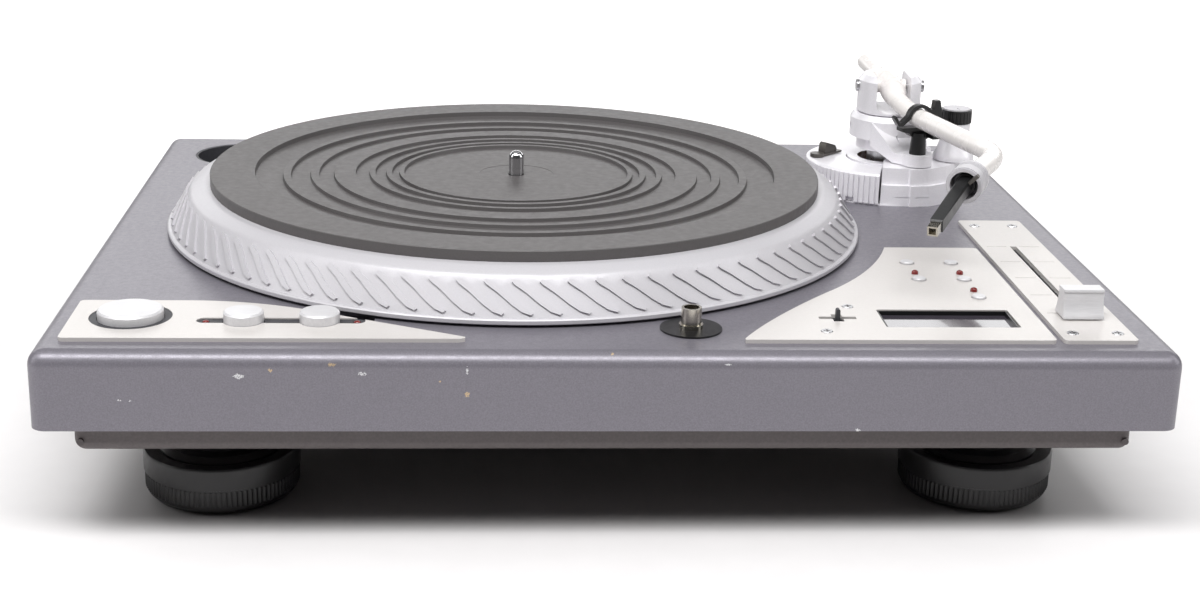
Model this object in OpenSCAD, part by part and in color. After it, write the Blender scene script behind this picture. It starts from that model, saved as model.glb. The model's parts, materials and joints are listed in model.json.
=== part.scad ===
// Direct drive turntable with a slide pitch control and a bent tonearm held on its rest.
// Millimetres, +Z up, floor at z = 0, origin under the middle of the plinth.
// Front is -Y, the tonearm is at the right rear.

/* [Plinth] */
// width of the plinth, left to right
plinth_w = 450; // [446:1:466]
// depth of the plinth, front to back
plinth_d = 365; // [362:1:380]
// height of the plinth casting
plinth_h = 31.7; // [30:0.1:36]
// rounding of the upper edges and corners
plinth_round = 6.5; // [3:0.1:8]
// side wall thickness
plinth_wall = 5; // [4:0.1:7]
// top deck thickness
deck_t = 4; // [3:0.1:4.5]

/* [Base pan and feet] */
// height of the pressed base pan below the plinth
pan_h = 14.8; // [12:0.1:18]
// sheet thickness of the base pan
sheet = 1.4; // [1:0.1:2]
// radius of each foot
foot_r = 32.5; // [28:0.1:36]
// height of the foot disc
foot_h = 21; // [18:0.1:24]
// visible stem between foot disc and base pan
foot_gap = 14; // [10:0.1:18]
// foot centre from the side face of the plinth
foot_x = 64.5; // [58:0.5:72]
// foot centre from the front or rear face of the plinth
foot_y = 61.5; // [56:0.5:70]
// radius of the foot stud
stud_r = 4; // [3:0.1:5]

/* [Platter] */
// platter centre from the plinth middle, left to right
platter_x = -35.5; // [-38:0.5:-35]
// platter centre from the plinth middle, front to back
platter_y = 11.6; // [10:0.1:14]
// outer radius of the platter rim
platter_r = 163.2; // [161:0.1:164]
// gap between platter rim and deck
platter_gap = 1.2; // [0.8:0.1:1.6]
// height of the platter top over the deck
platter_h = 21.6; // [20:0.1:22]
// number of raised ribs around the rim
rib_n = 86; // [60:1:90]
// rib height over the bevel
rib_h = 0.8; // [0.4:0.1:1]
// rib width
rib_w = 2.6; // [1.6:0.1:3]
// radius of the rubber mat
mat_r = 143.2; // [141:0.1:144]
// mat thickness at its rim
mat_t = 4.75; // [4:0.05:5.5]
// mat thickness at its floor
mat_floor = 1.2; // [1:0.1:2]
// height of the mat ridges over the floor
ridge_h = 1.4; // [0.8:0.1:1.8]
// spindle radius
spindle_r = 3.57; // [3.5:0.01:3.6]
// spindle height over the deck
spindle_h = 34.3; // [33:0.1:35]

/* [Control panels] */
// panel plate thickness
panel_t = 1.6; // [1:0.1:2]
// start button radius
start_r = 13; // [11:0.1:14]
// start button height over the deck
start_h = 5; // [3.6:0.1:5.8]
// start button travel
start_travel = 1.2; // [0.6:0.1:1.5]
// speed button radius
speed_r = 8; // [7:0.1:9]
// speed button height over the deck
speed_h = 5.8; // [4.5:0.1:7]
// speed button travel
speed_travel = 1.2; // [0.6:0.1:1.5]
// push button radius
push_r = 3; // [2.5:0.1:3.6]
// push button height over the deck
push_h = 2.6; // [2.4:0.1:4]
// push button travel
push_travel = 0.8; // [0.4:0.1:1]
// indicator radius
led_r = 1.6; // [1:0.1:2]
// indicator height over its panel
led_h = 1.1; // [0.6:0.1:1.6]
// pitch fader travel
fader_travel = 100; // [80:1:104]
// pitch knob height over the deck
knob_h = 14; // [12:0.1:16]
// pitch knob width
knob_w = 16.8; // [14:0.1:18]
// bend lever swing each way
bend_swing = 18; // [10:1:18]
// lamp socket radius
lamp_r = 4.1; // [3.8:0.05:4.4]
// lamp socket height over the deck
lamp_h = 9.3; // [8:0.1:12]
// adaptor well radius
well_r = 23; // [22:0.1:24]
// adaptor well depth
well_depth = 12; // [10:0.1:15]

/* [Tonearm] */
// tonearm tube radius
tube_r = 4.7; // [4.2:0.1:4.9]
// pivot housing radius on the tube
hub_r = 6.2; // [5.6:0.1:6.6]
// pivot height over the deck
pivot_h = 53.7; // [53.4:0.1:55]
// tube height over the deck along its level run
tube_h = 43.5; // [43.3:0.1:45]
// turn of the yoke seen from above
yoke_turn = 2; // [0:1:5]
// radius of the fork barrel that carries the pivots
yoke_r = 16.1; // [15.5:0.1:17]
// radius of the bearing housing under the fork
housing_r = 19; // [18:0.1:20]
// height ring outer radius
ring_r = 40.4; // [39:0.1:41]
// height ring turn
ring_turn = 30; // [20:1:32]
// column rise over the full ring turn
column_rise = 6; // [4:0.5:8]
// column post radius
post_r = 9.4; // [9:0.1:11]
// locking collar radius
collar_r = 8; // [7.4:0.1:8.6]
// anti-skate dial radius
dial_r = 7.8; // [7:0.1:9]

/* [Clearances] */
// running gap of shafts in bores, on the radius
run_gap = 0.05; // [0.03:0.01:0.08]
// free gap between pieces that move past each other
free_gap = 0.3; // [0.3:0.05:0.5]
// gap between the platter rim and the controls on the deck
rim_clear = 3; // [2:0.1:5]
// gap between the platter rim and the height ring
ring_gap = 1; // [0.6:0.1:2]
// gap between seated pieces that don't move
seat_gap = 0.05; // [0.03:0.01:0.1]

/* [Hidden] */
eps = 0.01;
// plinth faces
left_x = -plinth_w/2;
right_x = plinth_w/2;
front_y = -plinth_d/2;
rear_y = plinth_d/2;
pan_z = foot_h + foot_gap;
plinth_z = pan_z + pan_h;
T = plinth_z + plinth_h;
// base pan
pan_hw = right_x - 13.2;
pan_hd = rear_y - 15;
flange_hw = right_x - 5.2;
flange_hd = rear_y - 8;
foot_px = right_x - foot_x;
foot_py = rear_y - foot_y;
pan_round = 4.5;
stud_top = pan_z + min(10.5, pan_h - 3);
post_in = 11;
boss_xy = [
    [post_in - pan_hw, -60], [post_in - pan_hw, 20], [post_in - pan_hw, 85], [pan_hw - post_in, 60],
    [pan_hw - post_in, pan_hd - post_in], [70, pan_hd - post_in], [-70, post_in - pan_hd],
    [right_x - 167, post_in - pan_hd]
];
// platter section
bevel_top_r = platter_r - 10.4;
bevel_low_r = platter_r - 1.7;
bevel_top_z = platter_h - 3.3;
bevel_low_z = 3.6;
platter_low = platter_h - 5;
bevel_dr = bevel_low_r - bevel_top_r;
bevel_dz = bevel_top_z - bevel_low_z;
bevel_tilt = atan2(bevel_dz, bevel_dr);
mat_top = platter_h + mat_t;
floor_z = platter_h + mat_floor;
bearing_r = 12;
stator_r = 42.5;
magnet_in = 44.5;
magnet_out = 58;
// front edge of the platter at x, with a gap round its rim
function rim_front(x, gap) = platter_y - sqrt(pow(platter_r + gap, 2) - pow(x - platter_x, 2));
// left panel
lp_x0 = left_x + 10;
lp_back = front_y + 61;
lp_turn_x = left_x + 53;
lp_arc_r = 110;
lp_tan = 27.4;
lp_tx = lp_turn_x + lp_arc_r*sin(lp_tan);
lp_ty = lp_back - lp_arc_r*(1 - cos(lp_tan));
lp_tip_x = left_x + 166.5;
start_x = left_x + 33.5;
start_y = front_y + 40;
bezel_r = start_r + 3.3;
speed_x = [left_x + 78.6, left_x + 108.6];
speed_hole = speed_r + free_gap;
speed_y = min(front_y + 35.2, rim_front(speed_x[1], speed_hole + rim_clear));
p_front = min(front_y + 13.5, speed_y - speed_hole - 2);
slot_x0 = left_x + 60;
slot_x1 = left_x + 126.8;
slot_hh = 3.25;
slot_led = [slot_x0 + 3.7, slot_x1 - 3.4];
// right panel
rp_x1 = right_x - 48.5;
rp_back = front_y + 145;
rp_gap = 12.8;
rp_arc_r = platter_r + rp_gap;
bez_s = [right_x - 127.4, front_y + 79.1];
bez_c = [right_x - 158.8, front_y + 42.8];
bez_e = [right_x - 173.4, front_y + 15];
win_x0 = right_x - 114;
win_x1 = right_x - 58.7;
win_y0 = front_y + 29.5;
win_y1 = front_y + 52.4;
win_wall = 1;
win_round = 1;
push_hole = push_r + free_gap;
push_col = [right_x - 86.3, right_x - 66.3];
push_last = front_y + 69.5;
push_first = min(front_y + 120, rim_front(push_col[0], rp_gap + push_hole + 2));
push_row = [push_first, (push_first + push_last)/2 + 0.35, push_last];
push_xy = [
    [push_col[0], push_row[0]], [push_col[1], push_row[0]],
    [push_col[0], push_row[1]], [push_col[1], push_row[1]],
    [push_col[1], push_row[2]]
];
panel_led = [
    [push_col[0], push_row[1] + min(8.4, (push_row[0] - push_row[1])/2)],
    [push_col[1], push_row[1] + min(8.4, (push_row[0] - push_row[1])/2)],
    [push_col[1], push_row[2] + min(8.6, (push_row[1] - push_row[2])/2)]
];
bend_x = right_x - 132;
bend_y = min(front_y + 41.2, rim_front(bend_x + 6.9, rp_gap + 4) - 15);
bend_pivot = 14;
bend_len = 2*((bend_pivot + panel_t)*tan(bend_swing) + 2.63);
bend_screw = [[bend_x + 6.9, bend_y + 15], [bend_x - 7.3, bend_y - 16.9]];
// pitch panel
pp_x0 = right_x - 45.5;
pp_x1 = right_x - 15.3;
pp_back = front_y + 193.1;
fader_x = right_x - 30.4;
fader_y = front_y + 44.6;
fader_end = fader_y + fader_travel;
fader_slot = 1.5;
tick_in = 3;
tick_w = 9.4;
pitch_screw = [
    [pp_x0 + 5.8, pp_back - 10], [pp_x1 - 5.9, pp_back - 10],
    [pp_x0 + 5.8, p_front + 9.2], [pp_x1 - 5.9, p_front + 9.2]
];
// lamp and well
lamp_x = right_x - 193.2;
lamp_y = min(front_y + 31, rim_front(lamp_x, lamp_r + 0.8 + rim_clear));
well_x = left_x + 44;
well_y = rear_y - 41.5;
// rear fittings
inlet_x = left_x + 95;
switch_x = left_x + 136;
jack_x = right_x - 130;
bay_d = 9;
bay_wall = 4;
bay_low = plinth_z + 2;
bay_top = T - deck_t - 1.5;
rear_z = (bay_low + bay_top)/2;
bay_y = rear_y - bay_d;
bays = [[inlet_x - 20, switch_x + 14], [jack_x - 12, jack_x + 48]];
// tonearm
pivot_d = platter_r + ring_gap + ring_r;
pivot_turn = 19.825;
ax = platter_x + pivot_d*cos(pivot_turn);
ay = platter_y + pivot_d*sin(pivot_turn);
boss_r = 19.5;
ring_in = boss_r + 0.5;
ring_lo = 1;
ring_hi = 16;
ring_a0 = ring_turn + 10;
ring_a1 = 255;
block_h = 18.9;
ledge_h = 10.5;
block_gap = 0.5;
tooth = 4;
lock_x = -35.6;
lock_y = -0.5;
lock_turn = 44;
rest_turn = -71.3;
rest_d = 31.1;
rest_x = ax + rest_d*cos(rest_turn);
rest_y = ay + rest_d*sin(rest_turn);
dial_turn = -25.1;
dial_d = 35.34;
dial_x = ax + dial_d*cos(dial_turn);
dial_y = ay + dial_d*sin(dial_turn);
rest_foot = T + block_h + block_gap;
neck_z = T + 22;
column_low = T - 14 - column_rise;
housing_top = T + 40.2;
yoke_low = housing_top + free_gap;
yoke_top = T + pivot_h + 6.2;
slot_low = T + 42;
slot_round = 5;
cheek_in = hub_r + 2.4;
screw_seat = yoke_r - 0.5;
pin_r = 1.5;
bar_flat = 3.8;
// tonearm centre line: offsets from the pivot, heights over the deck, radius
drop = pivot_h - tube_h;
arm_pts = [
    [-6.6, 35, pivot_h + 5.9, tube_r - 0.7],
    [-4.2, 20.5, pivot_h + 3.6, tube_r - 0.7],
    [-2.8, 13.5, pivot_h + 2.4, tube_r - 0.2],
    [-1.5, 8.4, pivot_h + 1.5, hub_r],
    [0, 0, pivot_h, hub_r],
    [0.8, -8.4, pivot_h - 2.5, hub_r],
    [1.6, -13.4, tube_h + 0.53*drop, tube_r + 0.1],
    [4.5, -21, tube_h + 0.27*drop, tube_r],
    [8, -29, tube_h + 0.05*drop, tube_r],
    [10.65, -37.4, tube_h, tube_r],
    [16.3, -61, tube_h, tube_r],
    [22.2, -84.7, tube_h, tube_r],
    [25, -96, tube_h, tube_r],
    [26, -108, tube_h, tube_r],
    [22.2, -120.6, tube_h - 0.1, tube_r],
    [14.1, -135, tube_h - 0.3, tube_r],
    [6.34, -149.27, tube_h - 0.5, tube_r]
];
collar_turn = 25;
collar_x = ax + 6;
collar_y = ay - 150;
collar_z = T + tube_h - 0.5;
collar_len = 17;
collar_hole = collar_r - 1.9;
end_r = tube_r - 0.1;
bar_turn = 27.9;
bar_tilt = 9.6;
tip_x = collar_x - collar_len*sin(collar_turn);
tip_y = collar_y - collar_len*cos(collar_turn);
// clip section, drawn across the tube
clip_x = ax + 8.9;
clip_y = ay - 31.8;
clip_turn = 17;
clip_z = T + tube_h + 0.03*drop;
clip_in = tube_r + 0.6;
clip_out = clip_in + 1.7;
clip_w = 3.4;
lug_in = clip_w/2 + 0.4;
lug_out = lug_in + 1.9;
hinge_u = 9.6;
hinge_v = -5.6;
hinge_r = 2.1;
hinge_pin = 1;

function unit3(v) = v/norm(v);
function cat(a, b, c, d, t) = 0.5*(2*b + (c - a)*t + (2*a - 5*b + 4*c - d)*t*t
    + (3*b - a - 3*c + d)*t*t*t);
function spline(p, n) = concat(
    [for (i = [0:len(p) - 2], k = [0:n - 1])
        cat(p[max(i - 1, 0)], p[i], p[i + 1], p[min(i + 2, len(p) - 1)], k/n)],
    [p[len(p) - 1]]);
function xyz(p) = [p[0], p[1], p[2]];
function bez2(a, b, c, t) = (1 - t)*(1 - t)*a + 2*t*(1 - t)*b + t*t*c;

// plate with rounded upper edges and rounded corners, flat below
module slab(w, d, h, r) {
    linear_extrude(h - r) {
        square([w - 2*r, d], center = true);
        square([w, d - 2*r], center = true);
        for (sx = [-1, 1], sy = [-1, 1])
            translate([sx*(w/2 - r), sy*(d/2 - r)]) circle(r = r, $fn = 48);
    }
    translate([0, 0, h - r])
        linear_extrude(r) square([w - 2*r, d - 2*r], center = true);
    for (s = [-1, 1]) {
        translate([0, s*(d/2 - r), h - r])
            rotate([90, 0, 90])
                linear_extrude(w - 2*r, center = true) quarter(r, s);
        translate([s*(w/2 - r), 0, h - r])
            rotate([90, 0, 0])
                linear_extrude(d - 2*r, center = true) quarter(r, s);
    }
    for (sx = [-1, 1], sy = [-1, 1])
        translate([sx*(w/2 - r), sy*(d/2 - r), h - r])
            rotate([0, 0, sx > 0 ? (sy > 0 ? 0 : -90) : (sy > 0 ? 90 : 180)])
                rotate_extrude(angle = 90, $fn = 48) quarter(r, 1);
}
module quarter(r, s) {
    intersection() {
        circle(r = r, $fn = 48);
        translate([s > 0 ? 0 : -r, 0]) square(r);
    }
}
// flat rectangle with rounded corners between two corner points
module rrect(x0, y0, x1, y1, r) {
    translate([x0 + r, y0]) square([x1 - x0 - 2*r, y1 - y0]);
    translate([x0, y0 + r]) square([x1 - x0, y1 - y0 - 2*r]);
    for (x = [x0 + r, x1 - r], y = [y0 + r, y1 - r])
        translate([x, y]) circle(r = r, $fn = 32);
}
module box2(x0, y0, z0, x1, y1, z1) {
    translate([x0, y0, z0]) cube([x1 - x0, y1 - y0, z1 - z0]);
}
module pipe(ro, ri, z0, z1) {
    translate([0, 0, z0])
        difference() {
            cylinder(r = ro, h = z1 - z0, $fn = 96);
            translate([0, 0, -1]) cylinder(r = ri, h = z1 - z0 + 2, $fn = 96);
        }
}
module rod(r, z0, z1) {
    translate([0, 0, z0]) cylinder(r = r, h = z1 - z0, $fn = 64);
}
// round body swept along a list of [x, y, z, radius]
module sweep(path, n) {
    m = len(path);
    pts = [for (i = [0:m - 1])
        let (t = unit3(xyz(path[min(i + 1, m - 1)]) - xyz(path[max(i - 1, 0)])))
        let (s = unit3(cross(t, [0, 0, 1])))
        let (u = cross(s, t))
        for (k = [0:n - 1])
            xyz(path[i]) + path[i][3]*(cos(360*k/n)*s + sin(360*k/n)*u)];
    sides = [for (i = [0:m - 2], k = [0:n - 1], h = [0, 1])
        let (k2 = (k + 1) % n)
        h == 0 ? [i*n + k, i*n + k2, (i + 1)*n + k2] : [i*n + k, (i + 1)*n + k2, (i + 1)*n + k]];
    polyhedron(points = pts, faces = concat([[for (k = [n - 1:-1:0]) k]], sides,
        [[for (k = [0:n - 1]) (m - 1)*n + k]]));
}

// die cast top case, open below, with the deck cut out under the panels
module plinth() {
    color([0.49, 0.49, 0.53])
    difference() {
        union() {
            difference() {
                translate([0, 0, plinth_z]) slab(plinth_w, plinth_d, plinth_h, plinth_round);
                box2(left_x + plinth_wall, front_y + plinth_wall, plinth_z + 4,
                    right_x - plinth_wall, rear_y - plinth_wall, T - deck_t);
                box2(left_x + 14, front_y + 14, plinth_z - 1, right_x - 14, rear_y - 14, plinth_z + 5);
            }
            for (p = boss_xy)
                translate(p) pipe(5, 1.5, pan_z + sheet, T - deck_t + 1);
            for (b = bays)
                box2(b[0] - bay_wall, bay_y - bay_wall, plinth_z + 3,
                    b[1] + bay_wall, rear_y - 1, T - deck_t + 1);
        }
        for (b = bays)
            box2(b[0], bay_y, bay_low, b[1], rear_y + 1, bay_top);
        translate([platter_x, platter_y]) rod(bearing_r + run_gap, T - deck_t - 1, T + 1);
        translate([ax, ay]) rod(24 + run_gap, T - deck_t - 1, T + 1);
        translate([well_x, well_y]) rod(well_r + 1.4, T - deck_t - 1, T + 1);
        translate([lamp_x, lamp_y]) rod(lamp_r, T - deck_t - 1, T + 1);
        box2(lp_x0 + 7, speed_y - speed_hole - 6.4, T - deck_t - 1,
            left_x + 130, speed_y + speed_hole + 6, T + 1);
        translate([start_x, start_y]) rod(bezel_r + 2.5, T - deck_t - 1, T + 1);
        box2(push_col[0] - push_hole - 1.5, push_last - 7.2, T - deck_t - 1,
            rp_x1 - 4.5, rp_back - 7.5, T + 1);
        box2(bend_x - 13, front_y + 22.5, T - deck_t - 1, rp_x1 - 4.5, front_y + 57.5, T + 1);
        box2(fader_x - 9, p_front + 17, T - deck_t - 1, fader_x + 9, pp_back - 18.6, T + 1);
        box2(inlet_x - 13.5, rear_y - 20, rear_z - 9.3, inlet_x + 13.5, rear_y + 1, rear_z + 9.3);
        box2(switch_x - 8.8, rear_y - 20, rear_z - 6.6, switch_x + 8.8, rear_y + 1, rear_z + 6.6);
        for (k = [0, 1])
            translate([jack_x + 18*k, bay_y + 1, rear_z]) rotate([90, 0, 0]) rod(5, 0, 20);
        translate([jack_x + 38, bay_y + 1, rear_z]) rotate([90, 0, 0]) rod(2.5, 0, 20);
    }
    color([0.49, 0.49, 0.53])
        translate([switch_x, bay_y - 2, rear_z]) rotate([0, 90, 0]) rod(1.2, -9.5, 9.5);
}

// pressed tray that closes the plinth from below
module base_pan() {
    h = pan_h - 1.2;
    color([0.36, 0.35, 0.35])
    difference() {
        union() {
            translate([0, 0, pan_z + h]) mirror([0, 0, 1])
                slab(2*pan_hw, 2*pan_hd, h, pan_round);
            translate([0, 0, pan_z + h]) linear_extrude(1.2)
                rrect(-flange_hw, -flange_hd, flange_hw, flange_hd, 4);
        }
        difference() {
            translate([0, 0, pan_z + h + 2]) mirror([0, 0, 1])
                slab(2*(pan_hw - sheet), 2*(pan_hd - sheet), h + 2 - sheet, pan_round - sheet);
            for (sx = [-1, 1], sy = [-1, 1])
                translate([sx*foot_px, sy*foot_py]) rod(9, pan_z, stud_top + 1.5);
        }
        for (sx = [-1, 1], sy = [-1, 1])
            translate([sx*foot_px, sy*foot_py]) rod(stud_r + run_gap, pan_z - 1, stud_top + 0.5);
        for (p = boss_xy)
            translate(p) rod(1.6, pan_z - 1, pan_z + sheet + 1);
        for (sx = [-1, 1])
            translate([sx*(pan_hw - 3), -pan_hd - 1, pan_z + 4.5]) rotate([-90, 0, 0]) rod(1.4, 0, 4);
    }
}

// plate under the start and speed buttons
module left_panel() {
    color([0.94, 0.93, 0.92])
    translate([0, 0, T])
    linear_extrude(panel_t)
    difference() {
        union() {
            rrect(lp_x0, p_front, lp_turn_x + 4, lp_back, 2);
            intersection() {
                translate([lp_turn_x, lp_back - lp_arc_r]) circle(r = lp_arc_r, $fn = 128);
                translate([lp_turn_x, p_front]) square([lp_tx - lp_turn_x, lp_back - p_front]);
            }
            polygon([[lp_tx - 0.5, p_front], [lp_tip_x - 2.2, p_front], [lp_tip_x, p_front + 1.2],
                [lp_tip_x, p_front + 2.5], [lp_tx, lp_ty], [lp_tx - 0.5, lp_ty]]);
        }
        translate([platter_x, platter_y]) circle(r = platter_r + rim_clear, $fn = 256);
        translate([start_x, start_y]) circle(r = bezel_r + run_gap, $fn = 96);
        for (x = speed_x)
            translate([x, speed_y]) circle(r = speed_hole, $fn = 64);
        rrect(slot_x0, speed_y - slot_hh, slot_x1, speed_y + slot_hh, slot_hh - 0.05);
    }
}

// plate around the display window and push buttons, hollowed along the platter
module right_panel() {
    color([0.94, 0.93, 0.92])
    translate([0, 0, T])
    linear_extrude(panel_t)
    difference() {
        rrect(bez_e[0] - 8, p_front, rp_x1, rp_back, 2);
        translate([platter_x, platter_y]) circle(r = rp_arc_r, $fn = 256);
        polygon(concat([for (k = [0:24]) bez2(bez_s, bez_c, bez_e, k/24)],
            [[bez_e[0], p_front - 1], [bez_e[0] - 20, p_front - 1], [bez_e[0] - 20, bez_s[1] + 40],
            [bez_s[0] - 30, bez_s[1] + 40]]));
        rrect(win_x0, win_y0, win_x1, win_y1, win_round);
        for (p = push_xy)
            translate(p) circle(r = push_hole, $fn = 48);
        for (p = panel_led)
            translate(p) circle(r = led_r, $fn = 32);
        translate([bend_x - bend_len/2, bend_y - 1.5]) square([bend_len, 3]);
        translate([bend_x - 2.2, bend_y - 4.5]) square([4.4, 9]);
        for (p = bend_screw)
            translate(p) circle(r = 1.4, $fn = 32);
    }
}

// long plate of the pitch slider with engraved scale lines
module pitch_panel() {
    color([0.94, 0.93, 0.92])
    difference() {
        translate([0, 0, T]) linear_extrude(panel_t)
            difference() {
                rrect(pp_x0, p_front, pp_x1, pp_back, 2);
                translate([fader_x - fader_slot, fader_y - 3.1]) square([2*fader_slot, fader_travel + 6.2]);
                for (p = pitch_screw)
                    translate(p) circle(r = 1.4, $fn = 32);
            }
        for (k = [0:4])
            translate([fader_x, fader_y + 4 + k*(fader_travel - 0.8)/4, T + panel_t])
                for (s = [-1, 1])
                    translate([s*(tick_in + tick_w/2), 0, 0]) cube([tick_w, 0.55, 0.5], center = true);
    }
}

// dark ring round the start button and the strip that joins the speed buttons
module button_bezels() {
    color([0.13, 0.13, 0.14])
    difference() {
        union() {
            translate([start_x, start_y]) rod(bezel_r, T - 3, T + panel_t - 0.3);
            translate([start_x, start_y]) rod(bezel_r + 2, T - 3, T - 1.5);
            translate([0, 0, T - 3]) linear_extrude(1.5)
                rrect(slot_x0 - 2, speed_y - speed_hole - 4.5, slot_x1 + 2, speed_y + speed_hole + 3, 2);
            translate([0, 0, T - 2]) linear_extrude(panel_t + 1.5)
                rrect(slot_x0 + run_gap, speed_y - slot_hh + run_gap,
                    slot_x1 - run_gap, speed_y + slot_hh - run_gap, slot_hh - run_gap - eps);
        }
        translate([start_x, start_y]) rod(start_r + free_gap, T - 4, T + 4);
        for (x = speed_x)
            translate([x, speed_y]) rod(speed_hole, T - 4, T + 4);
        for (x = slot_led)
            translate([x, speed_y]) rod(led_r, T - 4, T + 4);
    }
}

// red indicators of both panels
module leds() {
    color([0.75, 0.08, 0.06]) {
        for (x = slot_led)
            translate([x, speed_y]) lamp_dot(T - 4, T + panel_t - 1);
        for (p = panel_led)
            translate(p) lamp_dot(T - 4, T + panel_t + 0.7);
    }
}
module lamp_dot(z0, z1) {
    rod(led_r - seat_gap, z0, z1);
    translate([0, 0, z1])
        rotate_extrude($fn = 32)
            polygon(concat([[0, -eps], [led_r - seat_gap, -eps]],
                [for (a = [30:15:90]) [(led_r - seat_gap)*cos(a), led_h*sin(a)]]));
}

// black frame of the display window
module window_frame() {
    color([0.05, 0.05, 0.05])
    difference() {
        union() {
            translate([0, 0, T - 4.5]) linear_extrude(panel_t + 4)
                rrect(win_x0 + seat_gap, win_y0 + seat_gap, win_x1 - seat_gap, win_y1 - seat_gap,
                    win_round - seat_gap);
            box2(win_x0 - 1.5, win_y0 - 1.5, T - 4.5, win_x1 + 1.5, win_y1 + 1.5, T - seat_gap);
        }
        box2(win_x0 + win_wall, win_y0 + win_wall, T - 2, win_x1 - win_wall, win_y1 - win_wall, T + 4);
        box2(win_x0 + 3, win_y0 + 3, T - 6, win_x1 - 3, win_y1 - 3, T);
    }
}

// clear lens sunk into the window frame
module window_lens() {
    color([0.2, 0.2, 0.22])
    box2(win_x0 + win_wall, win_y0 + win_wall, T - 2, win_x1 - win_wall, win_y1 - win_wall, T - 0.6);
}

// body of the bend switch under the panel, with its pivot pin
module bend_switch() {
    z = T - bend_pivot;
    color([0.16, 0.16, 0.17]) {
        difference() {
            box2(bend_x - 12, bend_y - 6, T - 20, bend_x + 12, bend_y + 6, T - 0.05);
            box2(bend_x - 9, bend_y - 2, T - 18, bend_x + 9, bend_y + 2, T + 1);
        }
        translate([bend_x, bend_y + 3, z]) rotate([90, 0, 0]) rod(1, 0, 6);
    }
}

// sprung lever of the bend switch
module bend_lever() {
    z = T - bend_pivot;
    top = T + 5.6;
    color([0.25, 0.25, 0.26])
    difference() {
        union() {
            translate([bend_x, bend_y + 1.2, z]) rotate([90, 0, 0]) rod(2.4, 0, 2.4);
            box2(bend_x - 0.85, bend_y - 1.2, z, bend_x + 0.85, bend_y + 1.2, top - 0.85);
            translate([bend_x, bend_y + 1.2, top - 0.85]) rotate([90, 0, 0]) rod(0.85, 0, 2.4);
        }
        translate([bend_x, bend_y + 5, z]) rotate([90, 0, 0]) rod(1 + run_gap, 0, 10);
    }
}

// slide control body under the pitch panel
module fader_module() {
    color([0.3, 0.3, 0.32])
    difference() {
        box2(fader_x - 5.6, p_front + 19, T - 16, fader_x + 5.4, pp_back - 20.6, T - 0.05);
        box2(fader_x - 1.1, fader_y - 3.4, T - 13, fader_x + 1.1, fader_end + 3.4, T + 1);
    }
}

// pitch knob, hollowed on its front and rear faces, with a thin stem
module fader_knob() {
    low = panel_t + 0.6;
    side = [for (k = [0:8]) [3.5 + 2.7*pow(1 - k/8, 2.4), low + 0.8 + (knob_h - low - 2)*k/8]];
    color([0.8, 0.8, 0.83]) {
        translate([fader_x - knob_w/2, fader_y, T])
            rotate([90, 0, 90])
                linear_extrude(knob_w)
                    polygon(concat([[-6.2, low], [6.2, low]], side,
                        [[3.9, knob_h - 0.9], [3.7, knob_h], [-3.7, knob_h], [-3.9, knob_h - 0.9]],
                        [for (k = [8:-1:0]) [-side[k][0], side[k][1]]]));
        box2(fader_x - 0.6, fader_y - 2, T - 11, fader_x + 0.6, fader_y + 2, T + panel_t + 1);
    }
}

// one countersunk panel screw, shared by every panel hole
module panel_screws() {
    color([0.72, 0.72, 0.74]) {
        for (p = pitch_screw)
            translate(p) screw_head(T + panel_t);
        for (p = bend_screw)
            translate(p) screw_head(T + panel_t);
    }
}
module screw_head(z) {
    difference() {
        union() {
            rod(1.38, z - panel_t, z + eps);
            translate([0, 0, z])
                rotate_extrude($fn = 48)
                    polygon([[0, 0], [2.5, 0], [2.3, 0.3], [0, 0.4]]);
        }
        translate([0, 0, z + 0.3]) cube([3, 0.7, 1], center = true);
        translate([0, 0, z + 0.3]) cube([0.7, 3, 1], center = true);
    }
}

// black rosette round the lamp socket
module lamp_plate() {
    color([0.06, 0.06, 0.06])
    translate([lamp_x, lamp_y]) pipe(12.5, lamp_r, T, T + 0.8);
}

// plated socket that takes a plug-in lamp
module lamp_socket() {
    color([0.78, 0.76, 0.72])
    translate([lamp_x, lamp_y])
    difference() {
        union() {
            rod(lamp_r - 0.1, T - 14, T + 1);
            rod(lamp_r + 0.8, T + 0.8, T + 2.4);
            rod(lamp_r, T + 2.3, T + lamp_h);
            rod(6, T - deck_t - 2.6, T - deck_t);
        }
        rod(lamp_r - 1, T + 3, T + lamp_h + 1);
        rod(1.6, T - 6, T + 4);
    }
}

// open cup for the record adaptor
module adaptor_well() {
    color([0.3, 0.3, 0.32])
    translate([well_x, well_y])
    difference() {
        union() {
            rod(well_r + 1.4, T - well_depth - 1.5, T - 0.2);
            rod(well_r + 5, T - deck_t - 1.6, T - deck_t);
        }
        rod(well_r, T - well_depth, T + 1);
    }
}

// brass bush that carries the spindle
module bearing_housing() {
    color([0.75, 0.62, 0.35])
    translate([platter_x, platter_y])
    difference() {
        union() {
            rod(bearing_r, T - 26, T + platter_low - 6.6);
            rod(22, T - deck_t - 3, T - deck_t);
        }
        rod(spindle_r + run_gap, T - 23.5, T + 20);
    }
}

// driver board, twelve pole core and windings of the motor
module motor_stator() {
    color([0.55, 0.33, 0.18])
    translate([platter_x, platter_y]) {
        pipe(64, bearing_r + 0.4, T, T + 1.6);
        pipe(24, bearing_r + 0.4, T + 1.5, T + platter_low - 5.6);
        for (k = [0:11])
            rotate([0, 0, 30*k]) {
                box2(22, -2.5, T + 1.5, 40, 2.5, T + platter_low - 7);
                box2(26, -5, T + 2.6, 37, 5, T + platter_low - 5.8);
                intersection() {
                    pipe(stator_r, 39, T + 1.5, T + platter_low - 5.6);
                    box2(30, -8, T, 60, 8, T + 30);
                }
            }
    }
}

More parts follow.
